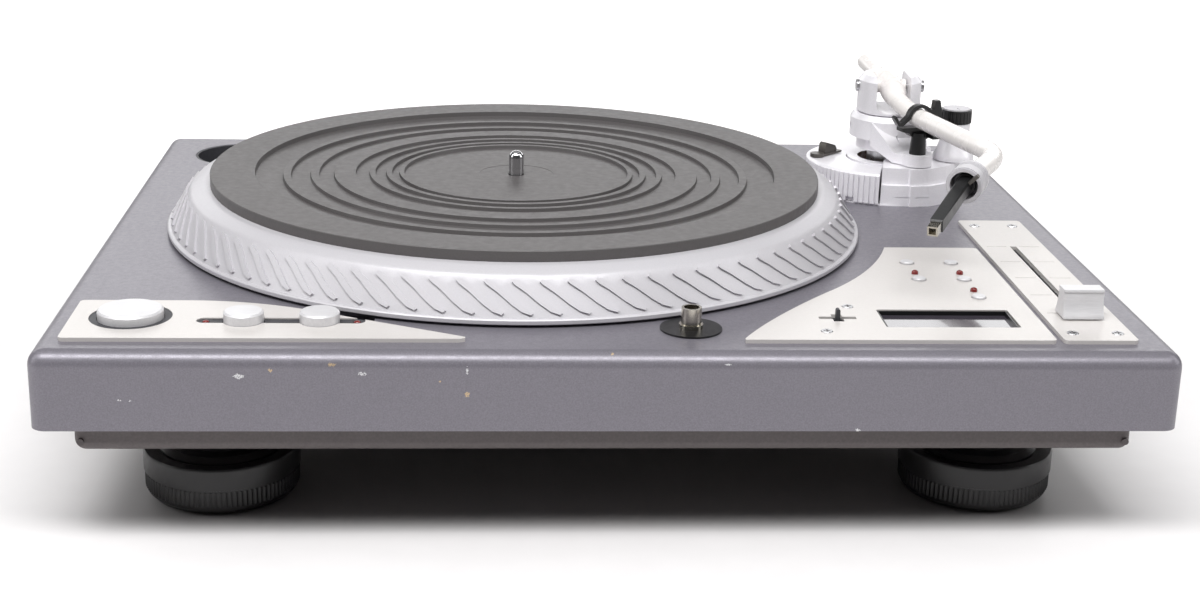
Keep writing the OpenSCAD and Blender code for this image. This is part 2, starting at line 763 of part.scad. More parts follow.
// boards under both panels and the mains board in the pan
module circuit_boards() {
    z = T - 22;
    color([0.12, 0.35, 0.2]) {
        box2(lp_x0 + 5, p_front + 5, z, left_x + 133, front_y + 56.5, z + 1.6);
        for (x = [lp_x0 + 10, left_x + 127])
            translate([x, front_y + 53.5]) rod(2.2, z + 1.5, T - deck_t);
        translate([start_x, start_y]) box2(-4, -4, z + 1.5, 4, 4, T - 12.3 - start_travel);
        for (x = speed_x)
            translate([x, speed_y]) box2(-4, -4, z + 1.5, 4, 4, T - 12.3 - speed_travel);
        box2(win_x0 - 2, p_front + 11, z, rp_x1 - 1.5, rp_back - 4.5, z + 1.6);
        for (y = [push_row[2], push_row[0]])
            translate([rp_x1 - 45.5, y]) rod(2.2, z + 1.5, T - deck_t);
        for (p = push_xy)
            translate(p) box2(-3.4, -3.4, z + 1.5, 3.4, 3.4, T - 12.3 - push_travel);
        box2(win_x0 + 1, win_y0 + 1, z + 1.5, win_x1 - 1, win_y1 - 1, T - 6);
        box2(-20, 60, pan_z + sheet + 6, 90, 140, pan_z + sheet + 7.6);
        for (x = [-14, 84], y = [66, 134])
            translate([x, y]) rod(3, pan_z + sheet, pan_z + sheet + 6.1);
        translate([20, 100]) rod(9, pan_z + sheet + 7.5, pan_z + sheet + 30);
        translate([48, 112]) rod(7, pan_z + sheet + 7.5, pan_z + sheet + 24);
        box2(60, 78, pan_z + sheet + 7.5, 63, 122, pan_z + sheet + 30);
    }
}

// mains transformer on the pan floor
module transformer() {
    z = pan_z + sheet;
    color([0.35, 0.3, 0.28]) {
        box2(-138, 62, z, -78, 106, z + 1.5);
        difference() {
            box2(-130, 64, z + 1.4, -86, 104, z + 30);
            box2(-121, 63, z + 8, -113, 105, z + 24);
            box2(-103, 63, z + 8, -95, 105, z + 24);
        }
        box2(-121, 58, z + 8, -95, 110, z + 24);
    }
}

// two phono jacks and a ground post on the rear wall
module rear_jacks() {
    color([0.78, 0.74, 0.66]) {
        for (k = [0, 1])
            translate([jack_x + 18*k, bay_y, rear_z]) rotate([-90, 0, 0])
                difference() {
                    union() {
                        rod(4.98, -12, 0.5);
                        rod(6.5, 0, 1.2);
                        rod(4.1, 1, bay_d - 0.6);
                        rod(6.4, -bay_wall - 2.5, -bay_wall);
                    }
                    rod(3.1, 1.5, 9);
                    rod(1.6, -6, 2);
                }
        translate([jack_x + 38, bay_y, rear_z]) rotate([-90, 0, 0]) {
            rod(2.48, -10, 5);
            rod(4.5, 0, 1);
            rod(4.2, 2.2, 7);
            rod(4.6, -bay_wall - 2.5, -bay_wall);
        }
    }
}

// flush mains inlet with three blades
module power_inlet() {
    color([0.08, 0.08, 0.08])
    translate([inlet_x, bay_y, rear_z]) {
        difference() {
            union() {
                box2(-13.45, -20, -9.25, 13.45, 0.5, 9.25);
                box2(-16, 0, -10.3, 16, 1.8, 10.3);
            }
            box2(-12, -16, -8.2, 12, 4, 8.2);
        }
        for (k = [-1, 0, 1])
            box2(7*k - 1, -17, k == 0 ? 0.5 : -3.5, 7*k + 1, -2, k == 0 ? 4.5 : 0.5);
    }
}

// rocker of the mains switch, tilting on the pin in the wall
module power_switch() {
    color([0.07, 0.07, 0.07])
    translate([switch_x, bay_y - 2, rear_z]) rotate([90, 0, 90])
        difference() {
            translate([0, 0, -8]) linear_extrude(16)
                polygon([[-4.5, -3.4], [0.5, -5.6], [5.6, -5.6], [3.6, 0], [2.6, 5.6], [0.5, 5.6], [-4.5, 3.4]]);
            translate([0, 0, -20]) cylinder(r = 1.2 + run_gap, h = 40, $fn = 48);
        }
}

// screws that hold the base pan to the plinth posts
module base_screws() {
    color([0.6, 0.6, 0.62])
    for (p = boss_xy)
        translate(p) {
            rod(1.5, pan_z - 0.1, pan_z + sheet + 8);
            translate([0, 0, pan_z]) mirror([0, 0, 1])
                rotate_extrude($fn = 48) polygon([[0, 0], [3, 0], [2.8, 1.1], [1.8, 1.9], [0, 2]]);
        }
}

// fixed tonearm base: spigot, greased boss and stepped block
module arm_base() {
    color([0.85, 0.85, 0.87])
    translate([ax, ay])
    difference() {
        union() {
            rod(24, T - 10, T + 0.1);
            rod(ring_r - 1.5, T, T + ring_lo - free_gap);
            rod(boss_r, T, T + ring_hi + 0.8);
            pipe(31, 23, T - deck_t - 4, T - deck_t - seat_gap);
            translate([0, 0, T]) linear_extrude(ledge_h) block_plan(ring_r - 1.6, ring_r);
            translate([0, 0, T]) linear_extrude(block_h) block_plan(ring_r - 3.6, ring_r - 1.2);
        }
        rod(post_r + run_gap, T - 12, T + 30);
        rod(post_r + 4.8, T + 12, T + 30);
        box2(-10, -ring_r + 0.9, T + 4.2, 24, -ring_r + 2.1, T + 4.7);
    }
}
module block_plan(front, r) {
    side = [cos(ring_a1 + 1.5), sin(ring_a1 + 1.5)];
    intersection() {
        circle(r = r, $fn = 128);
        polygon([[0, -15], [10, -60], [60, -60], [60, 4], [13, 1]]);
    }
    polygon([[0, -12], 18*side, (front - 0.2)*side, [-0.5, -front], [15.2, -front], [25, 6 - front], [20, -10],
        [13, 1]]);
}

// knurled ring that sets the arm height, open where the block stands
module height_ring() {
    n = round(360/tooth);
    color([0.85, 0.85, 0.87])
    translate([ax, ay])
    difference() {
        union() {
            translate([0, 0, T + ring_lo]) linear_extrude(ring_hi - ring_lo - 0.9)
                polygon([for (k = [0:n - 1], j = [0:3])
                    let (a = tooth*(k + [0.02, 0.22, 0.28, 0.96][j]))
                    (ring_r - [1.1, 1.1, 0, 0][j])*[cos(a), sin(a)]]);
            rotate_extrude($fn = 128)
                polygon([[0, T + ring_lo + 2], [ring_r - 1, T + ring_lo + 2], [ring_r - 1, T + ring_hi - 1],
                    [ring_r - 2.2, T + ring_hi], [0, T + ring_hi]]);
        }
        rod(ring_in, T, T + ring_hi + 5);
        translate([0, 0, T]) linear_extrude(ring_hi + 5)
            polygon(concat([[0, 0]], [for (k = [0:4])
                let (a = ring_a1 + (360 + ring_a0 - ring_a1)*k/4)
                60*[cos(a), sin(a)]]));
        translate([lock_x, lock_y]) rod(1.2 + run_gap, T + ring_hi - 8, T + ring_hi + 1);
        rotate([0, 0, 233.7]) box2(ring_r - 2, -2.1, T, ring_r + 1, 2.1, T + ring_lo + 2.2);
    }
}

// folded lever that clamps the height ring, turning on its screw
module height_lock() {
    z = T + ring_hi + free_gap;
    color([0.35, 0.34, 0.33])
    translate([ax + lock_x, ay + lock_y]) {
        rod(3.5, z, z + 1.8);
        rod(1.2, T + ring_hi - 7, z + 1);
        rotate([0, 0, lock_turn]) {
            box2(0, -3, z + 0.2, 17.5, 3, z + 1.1);
            difference() {
                translate([0, 2.2, z]) rotate([90, 0, 0]) linear_extrude(4.4)
                    polygon([[4, 0.5], [4.2, 3.8], [4.8, 5.9], [5.8, 6.6], [12.6, 4.3], [14, 2.6], [14, 0.5]]);
                box2(11.2, -1.2, z + 1.5, 15, 3, z + 3.6);
            }
        }
    }
}

// post that slides in the arm base
module arm_column() {
    color([0.82, 0.82, 0.84])
    translate([ax, ay]) {
        rod(post_r, column_low, neck_z);
        rod(post_r + 2.5, column_low - 2.5, column_low);
    }
}

// bearing housing of the tonearm with the strut of the arm rest and the dial pedestal
module arm_housing() {
    neck_r = housing_r - 3.8;
    foot = rest_foot - T;
    color([0.85, 0.85, 0.87])
    translate([ax, ay])
    difference() {
        union() {
            rotate_extrude($fn = 128)
                polygon([[0, neck_z], [neck_r, neck_z], [neck_r, neck_z + 5.8], [housing_r, neck_z + 6.2],
                    [housing_r, housing_top - 2.4], [housing_r - 1.6, housing_top], [0, housing_top]]);
            intersection() {
                translate([0, 0, T]) linear_extrude(50)
                    polygon([[-11.4, -13], [-11.4, -15.7], [5.2, -33.4], [16, -27.8], [18.2, -10], [16, -4], [0, 0]]);
                translate([0, 0, T]) rotate([90, 0, rest_turn]) linear_extrude(80, center = true)
                    polygon([[6, 27.9], [24, foot], [45, foot], [45, 24.5], [25, 24.5], [11.5, 37.2], [6, 37.2]]);
            }
            translate([rest_x - ax, rest_y - ay]) rod(7.6, rest_foot, T + 25);
            rotate([0, 0, dial_turn]) {
                box2(14, -4, T + 30.5, dial_d, 4, T + 35.5);
                translate([dial_d, 0, T]) rotate_extrude($fn = 96)
                    polygon([[0, foot], [10.3, foot], [10.3, foot + 1.6], [8.6, 25], [dial_r - 0.5, 29],
                        [dial_r - 0.5, 38.2], [0, 38.2]]);
            }
        }
        rod(4 + run_gap, T + 26, T + 45);
        translate([dial_x - ax, dial_y - ay]) rod(2 + run_gap, T + 31.5, T + 45);
        translate([-15, 0, T + 33]) rotate([0, -90, 0]) rod(1.8, 0, 10);
        rotate([0, 0, rest_turn]) translate([19.5, -4.8, T + 29.7]) rotate([0, 43.2, 0])
            cube([4.5, 0.8, 2], center = true);
    }
}

// black rest post with the cradle bar and the clip lugs
module rest_post() {
    color([0.07, 0.07, 0.07]) {
        translate([rest_x, rest_y, T + 25]) cylinder(r1 = 4.2, r2 = 3.4, h = clip_z - 8 - T - 25, $fn = 64);
        translate([clip_x, clip_y, clip_z]) rotate([0, 0, clip_turn]) {
            translate([0, lug_in + 6, 0]) rotate([90, 0, 0]) linear_extrude(6)
                polygon([[-7.6, -5.45], [-7.6, -7.3], [-3.6, -8.3], [-2, -10], [5.4, -12], [9, -10.5], [12, -8],
                    [12, -5.45]]);
            for (w = [-lug_in, lug_out])
                translate([hinge_u, w, hinge_v]) rotate([90, 0, 0]) rod(2.6, 0, lug_out - lug_in);
            box2(6.5, -lug_out, -10.6, 11.8, lug_in + 0.5, -8.3);
            box2(7.4, -lug_out, -10.6, 11.8, -lug_in, hinge_v);
            translate([hinge_u, lug_out, hinge_v]) rotate([90, 0, 0]) rod(hinge_pin, 0, 2*lug_out);
        }
    }
}

// springy strap snapped over the tube
module arm_clip() {
    color([0.06, 0.06, 0.06])
    translate([clip_x, clip_y, clip_z]) rotate([0, 0, clip_turn])
        translate([0, clip_w/2, 0]) rotate([90, 0, 0])
            linear_extrude(clip_w)
                difference() {
                    union() {
                        polygon(concat(
                            [[11.6, hinge_v], [12.4, 0], [11.6, 4.5], [10.6, 8.6], [7.8, 8.6], [7.4, 4.6]],
                            [for (a = [36:12:168]) clip_out*[cos(a), sin(a)]],
                            [[-10.2, -1.6], [-11.4, -1.7], [-13.6, 1.7], [-14.9, 0.8], [-12, -3.4],
                                [-9.6, -3.5]],
                            [for (a = [180:-12:-12]) clip_in*[cos(a), sin(a)]],
                            [[7.6, hinge_v]]));
                        translate([hinge_u, hinge_v]) circle(r = hinge_r, $fn = 48);
                    }
                    translate([hinge_u, hinge_v]) circle(r = hinge_pin + run_gap, $fn = 48);
                }
}

// black anti-skate dial with a grooved rim
module skate_dial() {
    color([0.07, 0.07, 0.07])
    translate([dial_x, dial_y]) {
        difference() {
            rod(dial_r, T + 38.5, T + 45);
            for (k = [0:23])
                rotate([0, 0, 15*k]) translate([dial_r + 0.25, 0]) rod(0.6, T + 38, T + 44.2);
            rod(dial_r - 0.9, T + 44.6, T + 46);
        }
        rod(2, T + 32, T + 39);
    }
}

// plain silver cap in the dial with a pointer line
module dial_cap() {
    color([0.82, 0.82, 0.84])
    translate([dial_x, dial_y])
    difference() {
        rod(dial_r - 0.9 - seat_gap, T + 44.6, T + 45.6);
        box2(-0.4, -dial_r + 1.6, T + 45.3, 0.4, -1, T + 46);
    }
}

// slotted barrel that carries the horizontal pivots, on a shaft in the housing
module arm_yoke() {
    color([0.85, 0.85, 0.87])
    translate([ax, ay]) rotate([0, 0, -yoke_turn])
    difference() {
        union() {
            rod(4, T + 26.4, yoke_low + 1);
            rotate_extrude($fn = 128)
                polygon([[0, yoke_low], [yoke_r - 1, yoke_low], [yoke_r, yoke_low + 0.8], [yoke_r, yoke_top - 3],
                    [yoke_r - 2.6, yoke_top], [0, yoke_top]]);
        }
        rotate([90, 0, 0]) linear_extrude(60, center = true)
            rrect(-cheek_in, slot_low, cheek_in, yoke_top + 20, slot_round);
        for (s = [-1, 1])
            translate([0, 0, T + pivot_h]) rotate([0, s*90, 0]) {
                rod(pin_r + seat_gap, 0, 30);
                rod(3 + seat_gap, screw_seat, 30);
            }
    }
}

// slotted pivot screws on both sides of the fork
module pivot_screws() {
    color([0.7, 0.68, 0.62])
    translate([ax, ay, T + pivot_h]) rotate([0, 0, -yoke_turn])
        for (s = [-1, 1])
            rotate([0, s*90, 0])
                difference() {
                    union() {
                        rod(pin_r, 5, screw_seat + 0.1);
                        rod(3, screw_seat, yoke_r + 1.2);
                    }
                    translate([0, 0, yoke_r + 1.2]) cube([7, 0.7, 1.2], center = true);
                }
}

// bent tube with its pivot housing, swept along the centre line
module arm_tube() {
    color([0.93, 0.91, 0.9])
    translate([ax, ay, T])
    difference() {
        union() {
            sweep(spline(arm_pts, 4), 26);
            rotate([0, 0, -yoke_turn])
                translate([-hub_r - 1.6, 0, pivot_h]) rotate([0, 90, 0]) rod(3.6, 0, 2*hub_r + 3.2);
            translate([collar_x - ax, collar_y - ay, collar_z - T]) rotate([90, 0, -collar_turn])
                rod(end_r, -1.2, 5);
        }
        rotate([0, 0, -yoke_turn])
            for (s = [-1, 1])
                translate([0, 0, pivot_h]) rotate([0, s*90, 0]) rod(pin_r + run_gap, 4.5, 12);
    }
}

// ring nut that locks the pick-up, turning on the end of the tube
module lock_collar() {
    color([0.83, 0.82, 0.8])
    translate([collar_x, collar_y, collar_z]) rotate([90, 0, -collar_turn])
    difference() {
        union() {
            rod(collar_r - 0.6, 0, 1);
            rod(collar_r, 0.9, collar_len - 0.9);
            rod(collar_r - 0.5, collar_len - 1, collar_len);
        }
        rod(end_r + run_gap, -1, 7);
        rod(collar_hole, 6, collar_len + 1);
        for (z = [4.2, 6, 7.8])
            pipe(collar_r + 1, collar_r - 0.35, z, z + 0.8);
    }
}

// one piece pick-up body, tapered and chamfered, plugged into the collar
module cartridge_body() {
    color([0.06, 0.06, 0.06])
    translate([tip_x, tip_y, collar_z]) {
        rotate([90, 0, -collar_turn]) rod(4.4, -collar_len + 5.1, -3);
        rotate([0, 0, -bar_turn]) rotate([bar_tilt, 0, 0])
            intersection() {
                translate([0, 0, -20]) linear_extrude(40)
                    polygon([[-3.2, 5], [-2.7, -43.6], [-2, -44.5], [2, -44.5], [2.7, -43.6], [3.2, 5]]);
                rotate([90, 0, 90]) linear_extrude(40, center = true)
                    polygon([[5, -3.2], [-43.6, -2.7], [-44.5, -2], [-44.5, 2], [-43.6, 2.7], [5, 3.2]]);
                rotate([90, 45, 0]) translate([0, 0, -10]) linear_extrude(60) square(2*bar_flat, center = true);
            }
    }
}

// square plated sleeve at the pick-up tip, stylus not fitted
module cartridge_tip() {
    color([0.75, 0.72, 0.66])
    translate([tip_x, tip_y, collar_z]) rotate([0, 0, -bar_turn]) rotate([bar_tilt, 0, 0])
        difference() {
            box2(-2.2, -50, -2.1, 2.2, -44.5, 2.1);
            box2(-1.5, -51, -1.4, 1.5, -46, 1.4);
        }
}

// short grey finger tab beside the collar
module finger_tab() {
    color([0.45, 0.44, 0.43])
    translate([tip_x, tip_y, collar_z]) rotate([0, 0, -bar_turn]) rotate([bar_tilt, -45, 0])
        box2(bar_flat, -4.2, -0.7, bar_flat + 5.2, -1.6, 0.7);
}

// aluminium platter with a bevelled, ribbed rim
module platter() {
    color([0.91, 0.91, 0.93])
    translate([platter_x, platter_y, T]) {
        rotate_extrude($fn = 256)
            polygon([
                [spindle_r + seat_gap, platter_low - 6], [bearing_r, platter_low - 6],
                [bearing_r + 2, platter_low],
                [bevel_top_r - 6.4, platter_low], [bevel_low_r - 5, platter_gap], [platter_r - 0.4, platter_gap],
                [platter_r, platter_gap + 0.4], [platter_r, platter_gap + 1.8],
                [platter_r - 0.5, platter_gap + 2.3],
                [bevel_low_r, bevel_low_z], [bevel_top_r, bevel_top_z], [bevel_top_r - 1.3, bevel_top_z + 1.2],
                [bevel_top_r - 5.6, platter_h - 0.4], [bevel_top_r - 7.6, platter_h],
                [spindle_r + seat_gap, platter_h]
            ]);
        for (k = [0:rib_n - 1])
            rotate([0, 0, 360*k/rib_n]) rib();
    }
}
// one leaning rib, drawn flat along its bent middle line and laid on the bevel
module rib() {
    mid = [[-7, -9.7], [-6.1, -8.3], [-3, -3.8], [2, 1.9], [5.2, 6], [6.8, 9.5]];
    wide = [0.5, 0.85, 1, 1, 0.85, 0.5];
    translate([(bevel_top_r + bevel_low_r)/2, 0, (bevel_top_z + bevel_low_z)/2])
        rotate([0, bevel_tilt, 0])
            translate([0, 0, -0.9])
                linear_extrude(rib_h + 0.9)
                    polygon(concat([for (k = [0:5]) mid[k] + rib_w/2*wide[k]*[-0.72, 0.69]],
                        [for (k = [5:-1:0]) mid[k] - rib_w/2*wide[k]*[-0.72, 0.69]]));
}

// ribbed rubber mat, dished inside its rim
module platter_mat() {
    k = mat_r/143.2;
    top = floor_z + ridge_h;
    color([0.3, 0.29, 0.29])
    translate([platter_x, platter_y, T])
        rotate_extrude($fn = 256)
            polygon([
                [spindle_r + 0.3, platter_h], [mat_r, platter_h], [mat_r, mat_top - 0.3], [mat_r - 0.3, mat_top],
                [122.6*k, mat_top], [122.2*k, top], [109.9*k, floor_z], [109.5*k, top + 0.2], [106*k, top + 0.2],
                [105.7*k, floor_z], [97.2*k, floor_z], [96.8*k, top], [92.9*k, top], [92.6*k, floor_z],
                [86.2*k, floor_z], [85.9*k, top], [75.9*k, top], [75.6*k, floor_z], [69.6*k, floor_z],
                [69.3*k, top], [66.7*k, top], [66.4*k, floor_z], [61.8*k, floor_z], [61.5*k, top], [58.8*k, top],
                [58.5*k, floor_z], [55.5*k, floor_z], [55.3*k, top], [53.1*k, top], [52.7*k, floor_z],
                [17.8*k, floor_z], [17.6*k, floor_z - 0.15], [spindle_r + 0.3, floor_z - 0.15]
            ]);
}

// hardened spindle turning in the bush
module spindle() {
    color([0.8, 0.8, 0.82])
    translate([platter_x, platter_y, T])
        rotate_extrude($fn = 96)
            polygon(concat([[0, -23], [spindle_r - 0.6, -23], [spindle_r, -22.4], [spindle_r, platter_h],
                [spindle_r - 0.25, platter_h + 0.2], [spindle_r - 0.25, floor_z + 0.4],
                [spindle_r, floor_z + 0.6]],
                [for (a = [0:7.5:90]) [spindle_r*cos(a), spindle_h - spindle_r + spindle_r*sin(a)]]));
}

// ring magnet under the platter
module rotor_magnet() {
    color([0.25, 0.25, 0.26])
    translate([platter_x, platter_y]) pipe(magnet_out, magnet_in, T + 4.5, T + platter_low);
}

// buttons
module start_button() {
    color([0.84, 0.84, 0.86])
    translate([start_x, start_y, T]) press_cap(start_r, start_h, 2.5);
}
module press_cap(r, h, stem) {
    rotate_extrude($fn = 96)
        polygon([[0, -12], [stem, -12], [stem, -5], [r, -5], [r, h - 0.7], [r - 0.7, h], [0, h]]);
}
module speed_33_button() {
    color([0.86, 0.86, 0.88])
    translate([speed_x[0], speed_y, T]) press_cap(speed_r, speed_h, 2.5);
}
module speed_45_button() {
    color([0.86, 0.86, 0.88])
    translate([speed_x[1], speed_y, T]) press_cap(speed_r, speed_h, 2.5);
}
module push_cap(k) {
    color([0.86, 0.86, 0.88])
    translate([push_xy[k][0], push_xy[k][1], T])
        rotate_extrude($fn = 64)
            polygon([[0, -12], [push_r - 0.6, -12], [push_r, -3], [push_r, push_h - 0.4], [push_r - 0.4, push_h],
                [0, push_h]]);
}
module push_button_1() { push_cap(0); }
module push_button_2() { push_cap(1); }
module push_button_3() { push_cap(2); }
module push_button_4() { push_cap(3); }
module push_button_5() { push_cap(4); }

// screw foot: knurled edge, grooved top, stem and threaded stud
module foot() {
    k = foot_h/21;
    n = 96;
    color([0.05, 0.05, 0.05]) {
        rotate_extrude($fn = 128)
            polygon([
                [0, 0], [foot_r - 6, 0], [foot_r - 3, 1*k], [foot_r - 1.2, 3*k], [foot_r - 0.9, 5*k],
                [foot_r - 0.9, 11.6*k], [foot_r, 12*k], [foot_r, 20*k], [foot_r - 0.6, foot_h],
                [foot_r - 5.5, foot_h],
                [foot_r - 5.5, foot_h - 1], [foot_r - 7, foot_h - 1], [foot_r - 7, foot_h],
                [foot_r - 9.5, foot_h + 1.8], [16.5, foot_h + 1.8], [15.5, foot_h + 3],
                [15.5, pan_z - free_gap], [stud_r, pan_z - free_gap], [stud_r, stud_top], [0, stud_top]
            ]);
        translate([0, 0, 4.4*k]) linear_extrude(6.4*k)
            polygon([for (i = [0:n - 1], j = [0, 1])
                let (a = (i + j/2)*360/n)
                (foot_r - [1.1, 0.45][j])*[cos(a), sin(a)]]);
    }
}

module foot_front_left() { translate([-foot_px, -foot_py]) foot(); }
module foot_front_right() { translate([foot_px, -foot_py]) foot(); }
module foot_rear_left() { translate([-foot_px, foot_py]) foot(); }
module foot_rear_right() { translate([foot_px, foot_py]) foot(); }

plinth();
base_pan();
left_panel();
right_panel();
pitch_panel();
button_bezels();
leds();
window_frame();
window_lens();
bend_switch();
fader_module();
panel_screws();
lamp_plate();
lamp_socket();
adaptor_well();
bearing_housing();
motor_stator();
circuit_boards();
transformer();
rear_jacks();
power_inlet();
base_screws();
arm_base();
platter();
platter_mat();
spindle();
rotor_magnet();
height_ring();
height_lock();
arm_column();
arm_housing();
rest_post();
skate_dial();
dial_cap();
arm_clip();
arm_yoke();
pivot_screws();
arm_tube();
cartridge_body();
cartridge_tip();
finger_tab();
lock_collar();
start_button();
speed_33_button();
speed_45_button();
push_button_1();
push_button_2();
push_button_3();
push_button_4();
push_button_5();
bend_lever();
fader_knob();
power_switch();
foot_front_left();
foot_front_right();
foot_rear_left();
foot_rear_right();
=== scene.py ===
import json
import math

import bpy
from mathutils import Matrix, Vector

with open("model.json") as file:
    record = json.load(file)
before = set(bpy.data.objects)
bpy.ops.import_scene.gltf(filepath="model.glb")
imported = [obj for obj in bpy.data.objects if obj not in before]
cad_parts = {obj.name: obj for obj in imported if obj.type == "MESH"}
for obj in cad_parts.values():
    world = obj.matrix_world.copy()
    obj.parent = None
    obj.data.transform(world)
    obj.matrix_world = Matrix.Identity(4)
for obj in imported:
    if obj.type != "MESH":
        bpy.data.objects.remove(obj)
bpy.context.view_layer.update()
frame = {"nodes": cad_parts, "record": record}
nodes = frame["nodes"]
TOP = 0.0815  # height of the deck over the floor
FRONT = -0.1825  # front face of the plinth
AX, AY = 0.15697, 0.08099  # tonearm axis
FLOOR_HALF = 6.0  # half width of the floor
CAM_AT = (-0.054106, -0.871609, 0.243292 + TOP)  # fitted to the photo
CAM_YAW, CAM_PITCH, CAM_ROLL = 0.068, 0.310, 0.025
FOCAL_PX, PHOTO_W = 1903.06, 1200.0
SENSOR = 36.0


def srgb(r, g, b):
    def lin(v):
        v = v / 255.0
        return v / 12.92 if v <= 0.04045 else ((v + 0.055) / 1.055) ** 2.4

    return (lin(r), lin(g), lin(b), 1.0)


def shade(c, f):
    return (min(c[0] * f, 1), min(c[1] * f, 1), min(c[2] * f, 1), 1.0)


class Tree:
    """A small wrapper for building a material's nodes."""

    def __init__(self, name):
        self.mat = bpy.data.materials.new(name)
        self.mat.use_nodes = True
        self.t = self.mat.node_tree
        self.t.nodes.clear()
        self.out = self.t.nodes.new("ShaderNodeOutputMaterial")
        self.bsdf = self.t.nodes.new("ShaderNodeBsdfPrincipled")
        self.t.links.new(self.bsdf.outputs["BSDF"], self.out.inputs["Surface"])
        self.coord = self.t.nodes.new("ShaderNodeTexCoord").outputs["Object"]

    def link(self, a, b):
        self.t.links.new(a, b)

    def set(self, **kw):
        for k, v in kw.items():
            self.bsdf.inputs[k.replace("_", " ")].default_value = v

    def feed(self, socket, v):
        if isinstance(v, (int, float, tuple)):
            socket.default_value = v
        else:
            self.link(v, socket)

    def colour(self):
        return self.bsdf.inputs["Base Color"].links[0].from_socket

    def paint(self, v):
        self.link(v, self.bsdf.inputs["Base Color"])

    def math(self, op, a, b=0.0, c=0.0, clamp=False):
        m = self.t.nodes.new("ShaderNodeMath")
        m.operation = op
        m.use_clamp = clamp
        for i, v in enumerate((a, b, c)):
            self.feed(m.inputs[i], v)
        return m.outputs[0]

    def xyz(self):
        n = self.t.nodes.new("ShaderNodeSeparateXYZ")
        self.link(self.coord, n.inputs[0])
        return n.outputs[0], n.outputs[1], n.outputs[2]

    def noise(self, scale, detail=3.0, rough=0.55, stretch=None):
        n = self.t.nodes.new("ShaderNodeTexNoise")
        n.inputs["Scale"].default_value = scale
        n.inputs["Detail"].default_value = detail
        n.inputs["Roughness"].default_value = rough
        src = self.coord
        if stretch:
            m = self.t.nodes.new("ShaderNodeMapping")
            m.inputs["Scale"].default_value = stretch
            self.link(src, m.inputs["Vector"])
            src = m.outputs["Vector"]
        self.link(src, n.inputs["Vector"])
        return n.outputs["Fac"]

    def ramp(self, fac, stops):
        r = self.t.nodes.new("ShaderNodeValToRGB")
        e = r.color_ramp.elements
        while len(e) < len(stops):
            e.new(0.5)
        for i, (p, c) in enumerate(stops):
            e[i].position = p
            e[i].color = c
        self.link(fac, r.inputs["Fac"])
        return r.outputs["Color"]

    def span(self, fac, lo, hi, a=0.0, b=1.0):
        m = self.t.nodes.new("ShaderNodeMapRange")
        for k, v in (("From Min", lo), ("From Max", hi), ("To Min", a), ("To Max", b)):
            m.inputs[k].default_value = v
        self.link(fac, m.inputs["Value"])
        return m.outputs["Result"]

    def mix(self, fac, a, b):
        m = self.t.nodes.new("ShaderNodeMix")
        m.data_type = "RGBA"
        self.feed(m.inputs[0], fac)
        self.feed(m.inputs[6], a)
        self.feed(m.inputs[7], b)
        return m.outputs[2]

    def bump(self, fac, strength, distance):
        b = self.t.nodes.new("ShaderNodeBump")
        b.inputs["Strength"].default_value = strength
        b.inputs["Distance"].default_value = distance
        self.link(fac, b.inputs["Height"])
        self.link(b.outputs["Normal"], self.bsdf.inputs["Normal"])

    def near(self, p, sx, sy, sz, wobble):
        """1 inside a ragged patch round p with half sizes sx, sy, sz in metres."""
        x, y, z = self.xyz()
        d = None
        for v, c, s in ((x, p[0], sx), (y, p[1], sy), (z, p[2], sz)):
            q = self.math("MULTIPLY", self.math("SUBTRACT", v, c), 1.0 / s)
            q = self.math("MULTIPLY", q, q)
            d = q if d is None else self.math("ADD", d, q)
        edge = self.span(wobble, 0.35, 0.65, -0.5, 1.5)
        return self.math("LESS_THAN", d, edge)

    def ring(self, cx, cy, r):
        """1 inside radius r round a vertical axis."""
        x, y, _ = self.xyz()
        dx = self.math("SUBTRACT", x, cx)
        dy = self.math("SUBTRACT", y, cy)
        d = self.math("ADD", self.math("MULTIPLY", dx, dx), self.math("MULTIPLY", dy, dy))
        return self.math("LESS_THAN", d, r * r)


def plain(name, col, rough, metal=0.0, var=0.08, scale=400.0, bump=0.0, depth=0.0001, stretch=None, coat=0.0, spec=0.5):
    """Paint, plastic, rubber or metal with a fine grain in colour, gloss and surface."""
    t = Tree(name)
    f = t.noise(scale, stretch=stretch)
    t.paint(t.ramp(f, [(0.3, shade(col, 1 - var)), (0.7, shade(col, 1 + var))]))
    g = t.noise(scale * 0.23)
    t.link(t.span(g, 0.3, 0.7, max(rough - 0.05, 0.02), rough + 0.05), t.bsdf.inputs["Roughness"])
    t.set(Metallic=metal, Coat_Weight=coat, Specular_IOR_Level=spec)
    if bump:
        t.bump(f, bump, depth)
    return t


M = {}

# metallic grey case paint with a fine grain, pale and tan chips on the front edge
t = plain("case_paint", srgb(125, 122, 130), 0.36, 0.3, 0.12, 1700.0, 0.18, 0.0001)
wob = t.noise(1500.0, 4.0, 0.75)
white, tan = srgb(216, 216, 218), srgb(198, 174, 140)
chips = [
    (-144.5, -9.2, 2.2, 1.1, white), (-132.6, -6.7, 0.9, 1.1, tan), (-109.2, -4.5, 1.5, 0.9, tan),
    (-97.6, -8.1, 1.8, 0.8, white), (-57.5, -6.8, 0.6, 1.7, white), (-57.5, -16.6, 1.1, 1.2, tan),
    (-68.0, -11.2, 0.5, 0.6, tan), (-1.5, -0.9, 0.7, 0.7, tan), (-190.0, -19.0, 0.8, 0.5, white),
    (-185.9, -19.2, 0.6, 0.5, white), (43.2, -4.2, 1.6, 0.4, white), (95.5, -31.3, 1.3, 0.8, white),
]
for x, z, sx, sz, c in chips:
    hit = t.near((x / 1000, FRONT + 0.001, TOP + z / 1000), sx / 1000, 0.006, sz / 1000, wob)
    t.paint(t.mix(hit, t.colour(), c))
M["case_paint"] = t.mat

